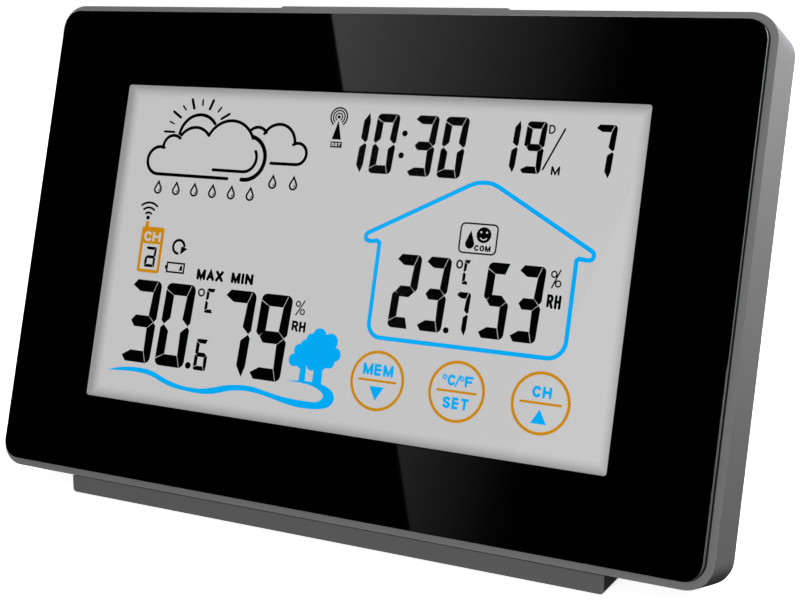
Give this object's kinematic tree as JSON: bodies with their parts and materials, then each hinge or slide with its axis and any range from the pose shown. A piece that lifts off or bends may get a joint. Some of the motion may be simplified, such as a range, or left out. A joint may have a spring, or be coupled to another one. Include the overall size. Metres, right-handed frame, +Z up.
{
  "type": "home weather station",
  "caption": "Desk weather station: large touch display in a shallow case that leans back on a plug-in stand, with a snooze key on top and a battery door behind.",
  "frame": {"origin": "on the surface it stands on, at the middle of the footprint of the whole station", "axes": "+X to the right as seen from the front, +Y towards the back, +Z up"},
  "size_m": [0.1634, 0.0562, 0.1051],
  "materials": {
    "lens": "clear acrylic with black print on its back, high gloss",
    "adhesive": "die-cut foam adhesive",
    "clear_film": "clear film with printed pads",
    "frame_abs": "grey ABS, fine spark-eroded texture",
    "cover_abs": "dark grey ABS, fine spark-eroded texture",
    "lcd": "grey polariser over liquid crystal glass",
    "white_sheet": "white polyester sheet",
    "guide_acrylic": "clear acrylic with a dot pattern",
    "white_abs": "white moulded ABS",
    "zebra": "layered silicone rubber",
    "circuit_board": "green solder resist over glass fibre",
    "resin": "black epoxy",
    "steel": "nickel-plated steel",
    "capacitor_sleeve": "shrunk sleeve",
    "copper": "enamelled copper wire",
    "ferrite": "sintered ferrite",
    "wire_sleeve": "PVC insulation",
    "cell_sleeve": "printed shrink sleeve, plain bands",
    "foot_rubber": "black silicone rubber",
    "sensor_body": "white moulded sensor case"
  },
  "bodies": {
    "stand": {"stand": "cover_abs", "rubber_feet": "foot_rubber"},
    "case": {"front_lens": "lens", "lens_tape": "adhesive", "touch_film": "clear_film", "front_frame": "frame_abs", "lcd_glass": "lcd", "diffuser_sheet": "white_sheet", "light_guide": "guide_acrylic", "reflector_sheet": "white_sheet", "backlight_strip": "circuit_board", "lcd_holder": "white_abs", "zebra_strips": "zebra", "main_board": "circuit_board", "controller_blob": "resin", "clock_crystal": "steel", "capacitors": "capacitor_sleeve", "radio_module": "circuit_board", "radio_antenna": "copper", "ferrite_rod": "ferrite", "time_signal_coil": "copper", "humidity_sensor": "sensor_body", "buzzer": "resin", "key_board": "circuit_board", "snooze_switch": "steel", "battery_springs": "steel", "battery_plates": "steel", "aa_cells": "cell_sleeve", "battery_wires": "wire_sleeve", "rear_cover": "cover_abs", "case_screws": "steel", "board_screws": "steel", "holder_screws": "steel"},
    "snooze_key": {"snooze_key": "frame_abs", "switch_stem": "white_abs"},
    "battery_door": {"battery_door": "cover_abs"}
  },
  "joints": [
    {"name": "case_lift", "type": "slide", "parent": "stand", "child": "case", "axis": [0, 0.2817, 0.9595], "range_m": [0, 0.02]},
    {"name": "snooze_press", "type": "slide", "parent": "case", "child": "snooze_key", "axis": [0, -0.2817, -0.9595], "range_m": [0, 0.0006], "stiffness_N_per_m": 400, "springref_m": -0.001},
    {"name": "door_swing", "type": "hinge", "parent": "case", "child": "battery_door", "pos_m": [0, 0.00833, 0.01498], "axis": [-1, 0, 0], "range_deg": [0, 75]}
  ]
}
